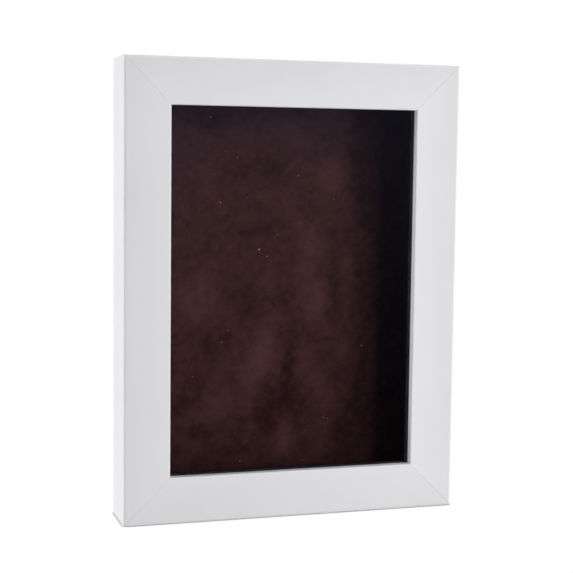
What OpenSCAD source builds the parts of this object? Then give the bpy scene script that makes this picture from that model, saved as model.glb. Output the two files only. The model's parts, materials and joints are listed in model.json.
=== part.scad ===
// Rear-loading shadow box frame with a suede lined back, standing upright and facing -Y.
// The origin is the middle of the flat face that it stands on.

/* [Frame] */
// Overall width of the frame
frame_w = 160; // [130:1:320]
// Overall height of the frame
frame_h = 211; // [170:1:420]
// Depth of the moulding, from its front to its back
frame_d = 27; // [22:0.5:60]
// Width of the moulding's face, from its outer side to the opening
face_w = 21.3; // [18:0.1:40]
// How far the lip reaches over the glass
lip_reach = 5.5; // [3.5:0.1:7]
// Depth from the front of the moulding to the seat of the glass
lip_depth = 4.1; // [3:0.1:8]
// Fall of the crowned face, from its crest to the opening
face_fall = 0.1; // [0.05:0.05:1.5]
// Distance of the crest from the outer side
crest_inset = 3; // [2:0.1:8]
// Radius of the outer front edge
outer_edge_r = 1.2; // [0.5:0.1:3]
// Radius of the edge round the opening
sight_edge_r = 0.9; // [0.3:0.1:1.5]
// Hairline left open at each mitre
mitre_gap = 0.06; // [0.02:0.01:0.2]

/* [Filling] */
// Thickness of the glass
glass_t = 2; // [1.5:0.1:4]
// Space round the edge of the glass
glass_play = 0.7; // [0.2:0.1:1]
// Thickness of the strips that line the side walls
spacer_t = 2.3; // [1.2:0.1:4]
// Space between the strips and what they meet
spacer_play = 0.1; // [0.05:0.05:0.3]
// Thickness of the suede lining
suede_t = 0.6; // [0.4:0.1:1.2]
// Thickness of the backing board
board_t = 2.4; // [1.5:0.1:5]
// Space round the edge of the backing board
board_play = 0.5; // [0.2:0.1:0.9]
// How far the board sits below the back of the frame
board_recess = 0.2; // [0.1:0.1:1]

/* [Turn buttons] */
// Distance of each side button from the middle of its rail
side_button_offset = 52; // [42:1:120]
// Distance of each top or bottom button from the middle of its rail
end_button_offset = 41; // [38:1:100]
// Thickness of the pressed plate
button_t = 1.2; // [0.8:0.1:2]
// Radius of the plate's end round the screw
button_hub_r = 4.5; // [3.5:0.1:6]
// Radius of the plate's tip
button_tip_r = 3.2; // [2:0.1:4]
// Distance from the screw to the middle of the tip
button_reach = 12.5; // [10:0.5:20]
// Height of the pressed rib along the plate
button_rib_h = 0.5; // [0.2:0.1:1]
// Radius of the screw's shank
screw_r = 1.5; // [1:0.1:2]
// Length of the screw's shank in the wood
screw_grip = 11; // [6:0.5:18]
// Radius of the screw's head
screw_head_r = 3.1; // [2.4:0.1:3.6]
// Height of the screw's head
screw_head_h = 1.8; // [1:0.1:2.5]
// Radial running clearance of the button on its screw
pivot_clearance = 0.08; // [0.02:0.01:0.1]
// Space above and below each button
button_play = 0.1; // [0.05:0.05:0.3]
// Angle that each button is turned aside, from 0 where its tip locks the backing board
button_turn = 90; // [0:15:90]

/* [Hangers] */
// Length of a sawtooth hanger
hanger_l = 45; // [40:1:60]
// Width of a sawtooth hanger
hanger_w = 9; // [7:0.5:12]
// Thickness of the hanger's steel strip
hanger_t = 0.8; // [0.5:0.1:1.2]
// How far the toothed bridge stands off the wood
hanger_lift = 1.4; // [1:0.1:2.5]
// Length of the flat tab at each end
hanger_tab_l = 6.5; // [5.5:0.5:8]
// Spacing of the teeth
tooth_pitch = 2; // [1.5:0.1:3]
// Depth of the teeth
tooth_depth = 1.3; // [0.8:0.1:2]
// Radius of a hanger nail's shank
nail_r = 0.6; // [0.4:0.1:1]
// Length of a hanger nail's shank in the wood
nail_grip = 9; // [6:0.5:14]
// Radius of a hanger nail's head
nail_head_r = 1.8; // [1.4:0.1:2.4]
// Height of a hanger nail's head
nail_head_h = 0.8; // [0.5:0.1:1.2]

/* [Corner fasteners and bumpers] */
// Length of each leg of a corner v nail
v_nail_leg = 4.5; // [3:0.5:6]
// Thickness of a corner v nail
v_nail_t = 0.8; // [0.5:0.1:1]
// Height of a corner v nail
v_nail_h = 10; // [6:0.5:15]
// Radius of a wall bumper
bumper_r = 4.5; // [3:0.5:6]
// Height of a wall bumper
bumper_h = 3.5; // [3:0.1:6]
// Distance of a bumper from each outer side at its corner
bumper_inset = 8; // [6:0.5:12]

/* [Hidden] */

// Faces of the moulding, along Y
y_front = -frame_d / 2;
y_back = frame_d / 2;
y_glass_seat = y_front + lip_depth;
y_glass_back = y_glass_seat + glass_t;
y_board_back = y_back - board_recess;
y_board_front = y_board_back - board_t;
y_suede_front = y_board_front - suede_t;

// Width of the moulding behind the lip, and the recess that it leaves
wall_w = face_w - lip_reach;
recess_w = frame_w - 2 * wall_w;
recess_h = frame_h - 2 * wall_w;

// The crown is one arc from the crest to the opening
crown_run = face_w - crest_inset;
crown_r = (crown_run * crown_run + face_fall * face_fall) / (2 * face_fall);

// Everything on the back of a rail is centred on its wall
pivot_u = wall_w / 2;
button_seat = y_back + button_play;
screw_head_seat = button_seat + button_t + button_play;
button_bore_r = screw_r + pivot_clearance;
side_offsets = [-side_button_offset, side_button_offset];
end_offsets = [-end_button_offset, end_button_offset];

// Sawtooth hanger: the nails go through the middle of its end tabs
nail_offset = hanger_l / 2 - hanger_tab_l / 2;
nail_offsets = [-nail_offset, nail_offset];
hanger_ramp = hanger_lift * 1.5;
bridge_l = hanger_l - 2 * (hanger_tab_l + hanger_ramp);
tooth_count = floor((bridge_l - tooth_pitch) / tooth_pitch);

// Corner v nails sit two to a mitre, sunk just below the back
v_nail_sink = 0.3;
v_nail_places = [wall_w * 0.36, wall_w * 0.74];

// How far each rail's end is set back along its length to leave the mitre's hairline
mitre_setback = mitre_gap / sqrt(2);

// Clearance of every fixed fastener in its hole, and the overshoot of a cut
seat_play = 0.04;
over = 1;
fine = 64;
crown_fine = 720;

// ---- Placing -------------------------------------------------------------------------

// A rail's own place: along X, outer side at z = 0, opening towards +Z
module on_rail(side) {
    if (side == "bottom") children();
    if (side == "top") translate([0, 0, frame_h]) rotate([0, 180, 0]) children();
    if (side == "left") translate([-frame_w / 2, 0, frame_h / 2]) rotate([0, 90, 0]) children();
    if (side == "right") translate([frame_w / 2, 0, frame_h / 2]) rotate([0, -90, 0]) children();
}

// Turns a flat XY outline up into the XZ plane and gives it thickness t along +Y
module upright(t) {
    translate([0, t, 0]) rotate([90, 0, 0]) linear_extrude(height = t) children();
}

// Turns a shape that stands along Z so that it points along +Y
module pointing_back() {
    rotate([-90, 0, 0]) children();
}

// ---- Moulding ------------------------------------------------------------------------

// A square corner less its round, to be cut from an outline at its lower left corner
module corner_cut(r) {
    difference() {
        translate([-over, -over]) square(r + over);
        translate([r, r]) circle(r, $fn = fine);
    }
}

// Outline across a rail: x is the depth behind the front, y runs in from the outer side
module rail_outline() {
    difference() {
        square([frame_d, face_w]);
        translate([lip_depth, wall_w]) square([frame_d, lip_reach + over]);
        translate([0, crest_inset]) crown_cut();
        corner_cut(outer_edge_r);
        translate([face_fall, face_w]) mirror([0, 1]) corner_cut(sight_edge_r);
    }
}

// What the crowned face leaves in front of it, from the crest to the opening
module crown_cut() {
    difference() {
        translate([-over, 0]) square([over + face_fall, crown_run + over]);
        translate([crown_r, 0]) circle(crown_r, $fn = crown_fine);
    }
}

// The wedge between a rail's two mitres
module mitre_wedge(length) {
    low = length / 2 + over - mitre_setback;
    high = length / 2 - face_w - over - mitre_setback;
    translate([0, y_front - over, 0]) upright(frame_d + 2 * over)
        polygon([[-low, -over], [low, -over], [high, face_w + over], [-high, face_w + over]]);
}

// A blind hole in the back of a rail
module rail_hole(x, r, depth) {
    translate([x, y_back - depth, pivot_u]) pointing_back()
        cylinder(h = depth + over, r = r, $fn = fine);
}

// One mitred rail with its screw holes, its nail holes and the pockets for the v nails
module rail(length, screw_offsets, nails) {
    difference() {
        intersection() {
            translate([-length / 2, y_front, 0]) rotate([90, 0, 90])
                linear_extrude(height = length) rail_outline();
            mitre_wedge(length);
        }
        for (x = screw_offsets) rail_hole(x, screw_r + seat_play, screw_grip + seat_play);
        for (x = nails) rail_hole(x, nail_r + seat_play, nail_grip + seat_play);
        for (end = [-1, 1]) at_v_nails(end, length) v_nail_pocket();
    }
}

module left_rail() {
    color("white") on_rail("left") rail(frame_h, side_offsets, nail_offsets);
}

module right_rail() {
    color("white") on_rail("right") rail(frame_h, side_offsets, []);
}

module top_rail() {
    color("white") on_rail("top") rail(frame_w, end_offsets, nail_offsets);
}

module bottom_rail() {
    color("white") on_rail("bottom") rail(frame_w, end_offsets, []);
}

// The places of the two v nails in the mitre at one end of a rail
module at_v_nails(end, length) {
    for (u = v_nail_places)
        translate([end * (length / 2 - u), y_back - v_nail_sink - v_nail_h, u])
            mirror([end > 0 ? 1 : 0, 0, 0]) children();
}

// Outline of a v nail with its point on the mitre, grown all round by play
module v_nail_outline(play) {
    half = v_nail_t / 2 + play;
    for (turn = [0, 90]) rotate(turn)
        translate([-half, -half]) square([v_nail_leg + half + play, 2 * half]);
}

// The pocket that a v nail leaves in each rail, open at the back
module v_nail_pocket() {
    translate([0, -seat_play, 0]) upright(seat_play + v_nail_h + v_nail_sink + over)
        v_nail_outline(seat_play);
}

module corner_v_nails() {
    color("silver") for (side = ["bottom", "top"]) on_rail(side)
        for (end = [-1, 1]) at_v_nails(end, frame_w) upright(v_nail_h) v_nail_outline(0);
}

// ---- Filling -------------------------------------------------------------------------

// A panel in the recess, from y to y + t, with play left all round
module recess_panel(y, t, play) {
    translate([play - recess_w / 2, y, wall_w + play])
        cube([recess_w - 2 * play, t, recess_h - 2 * play]);
}

module glass_pane() {
    color("lightcyan", 0.3) recess_panel(y_glass_seat, glass_t, glass_play);
}

module suede_lining() {
    color("#3a2a2c") recess_panel(y_suede_front, suede_t, board_play);
}

module backing_board() {
    color("sienna") recess_panel(y_board_front, board_t, board_play);
}

// A strip that lines one wall, standing between the glass and the suede
module spacer(length) {
    depth = y_suede_front - y_glass_back - 2 * spacer_play;
    translate([-length / 2, y_glass_back + spacer_play, wall_w + spacer_play])
        cube([length, depth, spacer_t]);
}

module side_spacer(side) {
    color("#18181c") on_rail(side) spacer(recess_h - 2 * spacer_play);
}

module end_spacer(side) {
    color("#18181c") on_rail(side) spacer(recess_w - 2 * (spacer_t + 2 * spacer_play));
}

module left_spacer() {
    side_spacer("left");
}

module right_spacer() {
    side_spacer("right");
}

module top_spacer() {
    end_spacer("top");
}

module bottom_spacer() {
    end_spacer("bottom");
}

// ---- Turn buttons --------------------------------------------------------------------

// Two round ends, with the straight sides that touch both
module tapered_link(r1, r2, reach) {
    lean = acos((r1 - r2) / reach);
    circle(r1, $fn = fine);
    translate([0, reach]) circle(r2, $fn = fine);
    polygon([
        [r1 * sin(lean), r1 * cos(lean)],
        [r2 * sin(lean), reach + r2 * cos(lean)],
        [-r2 * sin(lean), reach + r2 * cos(lean)],
        [-r1 * sin(lean), r1 * cos(lean)]
    ]);
}

// A pressed plate that turns on its screw, with its tip turned away from the rail's middle
module turn_button(side, offset) {
    rib_start = screw_head_r + 1;
    rib_half = button_tip_r * 0.35;
    aside = [0, sign(offset) * button_turn, 0];
    color("silver") on_rail(side) translate([offset, button_seat, pivot_u]) rotate(aside) {
        upright(button_t) difference() {
            tapered_link(button_hub_r, button_tip_r, button_reach);
            circle(button_bore_r, $fn = fine);
        }
        translate([0, button_t, 0]) upright(button_rib_h) translate([0, rib_start + rib_half])
            tapered_link(rib_half, rib_half, button_reach - rib_start - rib_half);
    }
}

module turn_button_left_upper() {
    turn_button("left", -side_button_offset);
}

module turn_button_left_lower() {
    turn_button("left", side_button_offset);
}

module turn_button_right_upper() {
    turn_button("right", side_button_offset);
}

module turn_button_right_lower() {
    turn_button("right", -side_button_offset);
}

module turn_button_top_left() {
    turn_button("top", end_button_offset);
}

module turn_button_top_right() {
    turn_button("top", -end_button_offset);
}

module turn_button_bottom_left() {
    turn_button("bottom", -end_button_offset);
}

module turn_button_bottom_right() {
    turn_button("bottom", end_button_offset);
}

// A pan head screw with a cross recess, from the bottom of its hole to its head
module pivot_screw() {
    shank = screw_head_seat - y_back + screw_grip;
    slot_w = screw_head_r * 0.22;
    slot_l = screw_head_r * 1.2;
    slot_d = screw_head_h * 0.5;
    translate([0, y_back - screw_grip, pivot_u]) pointing_back() {
        cylinder(h = shank + over / 2, r = screw_r, $fn = fine);
        translate([0, 0, shank]) difference() {
            pan_head(screw_head_r, screw_head_h);
            for (turn = [0, 90]) rotate(turn)
                translate([-slot_l / 2, -slot_w / 2, screw_head_h - slot_d])
                    cube([slot_l, slot_w, slot_d + over]);
        }
    }
}

// A low dome of the given radius and height, on a short straight rim
module pan_head(r, h) {
    rim = h * 0.3;
    dome = h - rim;
    dome_r = (r * r + dome * dome) / (2 * dome);
    rotate_extrude($fn = fine) intersection() {
        square([r, h]);
        translate([0, h - dome_r]) circle(dome_r, $fn = 4 * fine);
    }
}

module pivot_screws() {
    color("gainsboro") {
        for (side = ["left", "right"]) for (x = side_offsets)
            on_rail(side) translate([x, 0, 0]) pivot_screw();
        for (side = ["top", "bottom"]) for (x = end_offsets)
            on_rail(side) translate([x, 0, 0]) pivot_screw();
    }
}

// ---- Hangers -------------------------------------------------------------------------

// The strip seen along its width: flat tabs, ramps and a raised bridge
module hanger_outline() {
    tab = hanger_l / 2 - hanger_tab_l;
    bridge = bridge_l / 2;
    difference() {
        translate([-hanger_l / 2, 0]) square([hanger_l, hanger_lift + hanger_t]);
        polygon([
            [-tab, -over], [-tab, 0], [-bridge, hanger_lift],
            [bridge, hanger_lift], [tab, 0], [tab, -over]
        ]);
        for (s = [-1, 1]) polygon([
            [s * (hanger_l / 2 + over), hanger_t],
            [s * tab, hanger_t],
            [s * bridge, hanger_lift + hanger_t],
            [s * bridge, hanger_lift + hanger_t + over],
            [s * (hanger_l / 2 + over), hanger_lift + hanger_t + over]
        ]);
    }
}

// The row of notches along the edge that hooks on a wall nail
module tooth_row() {
    first = -(tooth_count - 1) * tooth_pitch / 2;
    for (i = [0 : tooth_count - 1]) {
        x = first + i * tooth_pitch;
        polygon([
            [x, hanger_w - tooth_depth],
            [x + tooth_pitch / 2, hanger_w + 0.01],
            [x + tooth_pitch / 2, hanger_w + over],
            [x - tooth_pitch / 2, hanger_w + over],
            [x - tooth_pitch / 2, hanger_w + 0.01]
        ]);
    }
}

module sawtooth_hanger(side) {
    color("silver") on_rail(side) translate([0, y_back, pivot_u - hanger_w / 2]) difference() {
        linear_extrude(height = hanger_w) hanger_outline();
        translate([0, hanger_lift / 2, 0]) upright(hanger_lift + hanger_t) tooth_row();
        for (x = nail_offsets) translate([x, -over, hanger_w / 2]) pointing_back()
            cylinder(h = hanger_t + 2 * over, r = nail_r + seat_play, $fn = fine);
    }
}

module top_hanger() {
    sawtooth_hanger("top");
}

module side_hanger() {
    sawtooth_hanger("left");
}

// A round head nail through a hanger's tab
module hanger_nail() {
    translate([0, y_back - nail_grip, pivot_u]) pointing_back() {
        cylinder(h = nail_grip + hanger_t + nail_head_h / 2, r = nail_r, $fn = fine);
        translate([0, 0, nail_grip + hanger_t]) pan_head(nail_head_r, nail_head_h);
    }
}

module hanger_nails() {
    color("gold") for (side = ["top", "left"]) on_rail(side)
        for (x = nail_offsets) translate([x, 0, 0]) hanger_nail();
}

// ---- Wall bumpers --------------------------------------------------------------------

// A soft button with a domed top, stuck on the back at a lower corner
module wall_bumpers() {
    color("dimgray") for (s = [-1, 1])
        translate([s * (frame_w / 2 - bumper_inset), y_back, bumper_inset]) pointing_back()
            pan_head(bumper_r, bumper_h);
}

left_rail();
right_rail();
top_rail();
bottom_rail();
corner_v_nails();
glass_pane();
left_spacer();
right_spacer();
top_spacer();
bottom_spacer();
suede_lining();
backing_board();
turn_button_left_upper();
turn_button_left_lower();
turn_button_right_upper();
turn_button_right_lower();
turn_button_top_left();
turn_button_top_right();
turn_button_bottom_left();
turn_button_bottom_right();
pivot_screws();
top_hanger();
side_hanger();
hanger_nails();
wall_bumpers();
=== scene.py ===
"""Looks of the shadow box: a white mitred moulding round a glass front and a brown suede back."""

import json
import math
import random

import bmesh
import bpy
from bpy.props import FloatProperty, FloatVectorProperty, IntProperty, PointerProperty
from mathutils import Matrix, Vector, noise

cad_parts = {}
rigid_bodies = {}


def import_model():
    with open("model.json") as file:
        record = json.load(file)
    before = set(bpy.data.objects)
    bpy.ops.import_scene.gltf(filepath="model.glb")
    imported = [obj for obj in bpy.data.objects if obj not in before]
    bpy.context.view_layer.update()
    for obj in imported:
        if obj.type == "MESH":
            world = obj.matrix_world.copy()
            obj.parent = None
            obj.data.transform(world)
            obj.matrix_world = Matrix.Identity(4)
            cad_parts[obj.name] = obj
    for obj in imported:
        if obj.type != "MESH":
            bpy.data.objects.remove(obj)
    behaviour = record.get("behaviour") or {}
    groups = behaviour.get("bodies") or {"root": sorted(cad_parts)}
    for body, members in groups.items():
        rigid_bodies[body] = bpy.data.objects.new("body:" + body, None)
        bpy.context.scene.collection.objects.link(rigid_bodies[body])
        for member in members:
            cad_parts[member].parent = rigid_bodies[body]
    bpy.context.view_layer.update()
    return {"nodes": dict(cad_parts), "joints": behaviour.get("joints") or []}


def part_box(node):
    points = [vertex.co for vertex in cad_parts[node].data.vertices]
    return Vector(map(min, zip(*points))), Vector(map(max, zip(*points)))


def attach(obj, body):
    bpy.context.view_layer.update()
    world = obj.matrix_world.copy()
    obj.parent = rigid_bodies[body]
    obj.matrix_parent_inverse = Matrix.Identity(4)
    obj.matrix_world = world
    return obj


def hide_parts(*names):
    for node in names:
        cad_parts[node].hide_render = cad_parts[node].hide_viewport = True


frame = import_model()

bl_info = {
    "name": "Shadow box looks",
    "version": (1, 0, 0),
    "blender": (4, 5, 0),
    "location": "View3D > Sidebar > Shadow Box",
    "description": "Builds the pieces and finishes of a rear-loading shadow box",
    "category": "Add Mesh",
}

MM = 0.001

# Places that the CAD frame gives
RAIL_LO, RAIL_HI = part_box("left_rail")
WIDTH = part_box("right_rail")[1].x - RAIL_LO.x
HEIGHT = RAIL_HI.z - RAIL_LO.z
FRONT, BACK = RAIL_LO.y, RAIL_HI.y
FACE = RAIL_HI.x - RAIL_LO.x
GLASS_LO, GLASS_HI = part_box("glass_pane")
SUEDE_LO, SUEDE_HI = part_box("suede_lining")
BOARD_LO, BOARD_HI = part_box("backing_board")
STRIP_PLAY = 0.1 * MM
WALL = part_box("left_spacer")[0].x - STRIP_PLAY - RAIL_LO.x
PIVOT = WALL / 2
SIDES = ("left", "right", "top", "bottom")
HANGERS = {"top": "top_hanger", "left": "side_hanger"}
# Sizes that several pieces share
NEAR = 0.01 * MM
HOLE_PLAY = 0.04 * MM
SCREW_HEAD_H = 1.8 * MM
SCREW_SHANK_R = 1.5 * MM
NAIL_SHANK_R = 0.6 * MM
HANGER_LENGTH, HANGER_WIDTH, HANGER_THICK = 45 * MM, 9 * MM, 0.8 * MM
TAB_INSET = 3.25 * MM
# Painted light: how much lighter each rail is painted towards the opening, stronger on the sides where the
# light falls more
PAINTED_BRIGHTENING = {"left": 0.55, "right": 1.0, "top": 0.70, "bottom": 0.40}


def length_prop(name, description, size):
    """A length in metres."""
    return FloatProperty(name=name, description=description, default=size, unit="LENGTH")


def angle_prop(name, description, degrees):
    """An angle, given in degrees."""
    return FloatProperty(name=name, description=description, default=math.radians(degrees), subtype="ANGLE")


def colour_prop(name, description, *shade):
    """A linear colour."""
    return FloatVectorProperty(name=name, description=description, default=shade, subtype="COLOR")


def number_prop(name, description, value):
    """A plain number."""
    return FloatProperty(name=name, description=description, default=value)


class ShadowBoxSizes(bpy.types.PropertyGroup):
    """Small sizes of the pieces, in metres."""

    crest_inset: length_prop("Crest inset", "From the outer side to the face's crest", 3 * MM)
    face_fall: length_prop("Face fall", "Fall of the face from its crest to the opening", 0.1 * MM)
    crown_rows: IntProperty(name="Crown rows", description="Rows of faces across the face", default=6, min=2)
    outer_round: length_prop("Outer round", "Radius of the outer front edge", 1.2 * MM)
    sight_round: length_prop("Sight round", "Radius of the edge round the opening", 0.5 * MM)
    back_round: length_prop("Back round", "Radius of the moulding's back edges", 0.35 * MM)
    mitre_gap: length_prop("Mitre gap", "Hairline at each mitre", 0.03 * MM)
    mitre_ease: length_prop("Mitre ease", "Softening along each mitre", 0.06 * MM)
    glass_arris: length_prop("Glass arris", "Ground edge of the glass", 0.3 * MM)
    card_ease: length_prop("Card ease", "Softening of the card strips' edges", 0.15 * MM)
    board_ease: length_prop("Board ease", "Softening of the board's edges", 0.35 * MM)
    suede_cell: length_prop("Suede cell", "Spacing of the suede sheet's points", 1 * MM)
    suede_swell: length_prop("Suede swell", "Height of the suede's gentle waves", 0.12 * MM)
    screw_reach: length_prop("Screw reach", "Length of a screw's shank in the wood", 11 * MM)
    nail_reach: length_prop("Nail reach", "Length of a nail's shank in the wood", 9 * MM)


class ShadowBoxFinishes(bpy.types.PropertyGroup):
    """Colours of the finishes."""

    paint: colour_prop("Paint", "White satin paint", 0.88, 0.885, 0.885)
    fibreboard: colour_prop("Fibreboard", "Bare wood fibre of the moulding's back", 0.50, 0.36, 0.23)
    card: colour_prop("Card", "Black card strips", 0.0145, 0.0145, 0.0195)
    suede_dark: colour_prop("Suede dark", "Suede where its nap lies away", 0.0215, 0.0070, 0.0066)
    suede_light: colour_prop("Suede light", "Suede where its nap stands up", 0.087, 0.0350, 0.0340)
    # Painted shade: the bluish tint that the suede takes along the top
    suede_painted_shade: colour_prop("Suede cool", "Cooler suede along the top", 0.043, 0.0235, 0.0355)
    hardboard: colour_prop("Hardboard", "Brown hardboard backing", 0.235, 0.135, 0.075)
    steel: colour_prop("Steel", "Zinc plated steel", 0.63, 0.64, 0.655)
    brass: colour_prop("Brass", "Brassed hanger nails", 0.70, 0.50, 0.24)
    rubber: colour_prop("Rubber", "Grey rubber bumpers", 0.10, 0.10, 0.105)
    lint: colour_prop("Lint", "Pale specks of lint", 0.55, 0.50, 0.47)


class ShadowBoxStage(bpy.types.PropertyGroup):
    """The camera and the lights."""

    eye: FloatVectorProperty(
        name="Camera place", description="Where the camera stands",
        default=(-0.1876, -0.6060, 0.1650), subtype="TRANSLATION", unit="LENGTH",
    )
    turn: angle_prop("Camera turn", "Camera's turn about the vertical", -17.17)
    tilt: angle_prop("Camera tilt", "Camera's tilt up or down", -5.27)
    roll: angle_prop("Camera roll", "Camera's roll", -0.68)
    lens: number_prop("Lens", "Focal length in millimetres", 85.05)
    key_power: number_prop("Key power", "Power of the softbox", 58.0)
    key_colour: colour_prop("Key colour", "Colour of the softbox", 1.0, 0.985, 0.96)
    key_turn: angle_prop("Key turn", "Softbox's turn to the right", 40.5)
    key_lift: angle_prop("Key lift", "Softbox's place above the horizon", 2)
    key_distance: length_prop("Key distance", "Distance of the softbox", 2.0)
    key_width: length_prop("Key width", "Width of the softbox", 1.42)
    key_height: length_prop("Key height", "Height of the softbox", 4.0)
    strip_power: number_prop("Strip power", "Power of the strip light at the left", 15.0)
    strip_distance: length_prop("Strip distance", "Distance of the strip light to the left", 1.5)
    strip_ahead: length_prop("Strip ahead", "Strip's distance ahead of the front", 0.068)
    strip_width: length_prop("Strip width", "Width of the strip light", 0.045)
    strip_height: length_prop("Strip height", "Height of the strip light", 3.0)
    room_front: colour_prop("Room in front", "Light from the room in front", 0.112, 0.108, 0.160)
    room_behind: number_prop("Room behind", "Light from behind and the sides", 0.85)


# ---- Modelling steps ----


def put_down():
    """Leaves edit mode with nothing active or selected."""
    held = bpy.context.view_layer.objects.active
    if held and held.mode != "OBJECT":
        bpy.ops.object.mode_set(mode="OBJECT")
    for other in bpy.context.scene.objects:
        other.select_set(False)
    bpy.context.view_layer.objects.active = None


def take_up(*pieces):
    """Selects only these pieces, with the first one active."""
    put_down()
    for piece in pieces:
        piece.select_set(True)
    bpy.context.view_layer.objects.active = pieces[0]
    return pieces[0]


def edit(piece):
    """Opens a piece in edit mode."""
    take_up(piece)
    bpy.ops.object.mode_set(mode="EDIT")
    return piece


def done(piece):
    """Closes a piece that is open in edit mode."""
    bpy.ops.object.mode_set(mode="OBJECT")
    return piece


def settle(piece):
    """Moves a piece's place, turn and scale into its mesh."""
    take_up(piece)
    bpy.ops.object.transform_apply(location=True, rotation=True, scale=True)
    return piece


def named(name):
    """Names the piece just made, and settles it."""
    piece = bpy.context.object
    piece.name = name
    piece.data.name = name
    return settle(piece)


def block(name, lo, hi):
    """A box between two corners."""
    put_down()
    lo, hi = Vector(lo), Vector(hi)
    bpy.ops.mesh.primitive_cube_add(size=1, location=(lo + hi) / 2, scale=hi - lo)
    return named(name)


def round_bar(name, radius, low, high, sides, at=(0, 0)):
    """A cylinder along Z from low to high."""
    put_down()
    place = (*at, (low + high) / 2)
    bpy.ops.mesh.primitive_cylinder_add(vertices=sides, radius=radius, depth=high - low, location=place)
    return named(name)


def disc(name, radius, sides):
    """A filled circle on the ground plane."""
    put_down()
    bpy.ops.mesh.primitive_circle_add(vertices=sides, radius=radius, fill_type="NGON")
    return named(name)


def grid(name, columns, rows, size, place, turn=(0, 0, 0)):
    """A flat grid of faces."""
    put_down()
    bpy.ops.mesh.primitive_grid_add(
        x_subdivisions=columns, y_subdivisions=rows, size=1, location=place, rotation=turn
    )
    bpy.context.object.scale = (*size, 1)
    return named(name)


def pick(piece, kind, test):
    """Selects only the faces, edges or points that pass the test."""
    bpy.ops.mesh.select_mode(type=kind)
    bpy.ops.mesh.select_all(action="DESELECT")
    mesh = bmesh.from_edit_mesh(piece.data)
    mesh.normal_update()
    group = {"FACE": mesh.faces, "EDGE": mesh.edges, "VERT": mesh.verts}[kind]
    found = [part for part in group if test(part)]
    if not found:
        raise RuntimeError(f"{piece.name}: nothing to select")
    for part in found:
        part.select_set(True)
    mesh.select_flush_mode()
    bmesh.update_edit_mesh(piece.data)


def shift(piece, test, offset):
    """Moves the points that pass the test."""
    pick(piece, "VERT", test)
    bpy.ops.transform.translate(value=offset)


def pull(offset):
    """Extrudes what is selected."""
    bpy.ops.mesh.extrude_region_move(TRANSFORM_OT_translate={"value": offset})


def round_off(piece, test, width, steps):
    """Rounds the edges that pass the test."""
    pick(piece, "EDGE", test)
    bpy.ops.mesh.bevel(offset=width, offset_type="OFFSET", segments=steps, profile=0.5, affect="EDGES")


def slice_at(place, facing, keep_all=True):
    """Cuts the mesh by a plane, and unless all is kept, caps it and drops what lies beyond."""
    bpy.ops.mesh.select_all(action="SELECT")
    bpy.ops.mesh.bisect(plane_co=place, plane_no=facing, use_fill=not keep_all, clear_outer=not keep_all)


def combine(piece, tools, operation):
    """Applies a Boolean of the tools to the piece, and removes them."""
    tool = tools[0]
    if len(tools) > 1:
        take_up(*tools)
        bpy.ops.object.join()
    apply_step(piece, "BOOLEAN", operation=operation, solver="EXACT", object=tool, use_self=True)
    bpy.data.objects.remove(tool)


def apply_step(piece, kind, **settings):
    """Adds a modifier and applies it at once."""
    take_up(piece)
    step = piece.modifiers.new(kind.lower(), kind)
    for key, value in settings.items():
        setattr(step, key, value)
    bpy.ops.object.modifier_apply(modifier=step.name)
    return piece


def smooth(piece, angle):
    """Smooth shading that keeps flat faces flat beside their rounded edges."""
    take_up(piece)
    bpy.ops.object.shade_smooth_by_angle(angle=math.radians(angle))
    return apply_step(piece, "WEIGHTED_NORMAL", keep_sharp=True, weight=60)


def copy_to(piece, name, place):
    """A copy with its own mesh, moved to a place."""
    twin = piece.copy()
    twin.data = piece.data.copy()
    twin.name = twin.data.name = name
    bpy.context.scene.collection.objects.link(twin)
    twin.matrix_world = place
    return settle(twin)


def gather(name, pieces):
    """Joins like pieces into one."""
    take_up(*pieces)
    bpy.ops.object.join()
    return named(name)


def set_of(name, model, spots):
    """Copies of a model at these spots, joined into one piece in its stead."""
    copies = [copy_to(model, "copy", spot) for spot in spots]
    bpy.data.objects.remove(model)
    return gather(name, copies)


def hand_over(piece, body, slot, node, *finishes):
    """Gives a piece its materials and body, and hides the CAD node that it stands for. The slot is not used.
    """
    for finish in finishes:
        piece.data.materials.append(finish)
    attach(piece, body)
    if node:
        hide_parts(node)
    put_down()


def on_side(side):
    """From a rail lying along X with its outer side at z = 0 to its own side of the frame."""
    turn, place = {
        "bottom": (0, (0, 0, 0)),
        "top": (180, (0, 0, HEIGHT)),
        "left": (90, (-WIDTH / 2, 0, HEIGHT / 2)),
        "right": (-90, (WIDTH / 2, 0, HEIGHT / 2)),
    }[side]
    return Matrix.Translation(place) @ Matrix.Rotation(math.radians(turn), 4, "Y")


def from_world(side, point):
    """A point of the frame as it lies on its rail."""
    return on_side(side).inverted() @ point


# Plate drawn on the ground plane, stood up so that its length is +Z and its thickness +Y
STAND_UP = Matrix.Rotation(math.pi, 4, "Y") @ Matrix.Rotation(-math.pi / 2, 4, "X")
# Bar drawn along +Z, laid so that it points along +Y
POINT_BACK = Matrix.Rotation(-math.pi / 2, 4, "X")


# ---- Finishes ----


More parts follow.
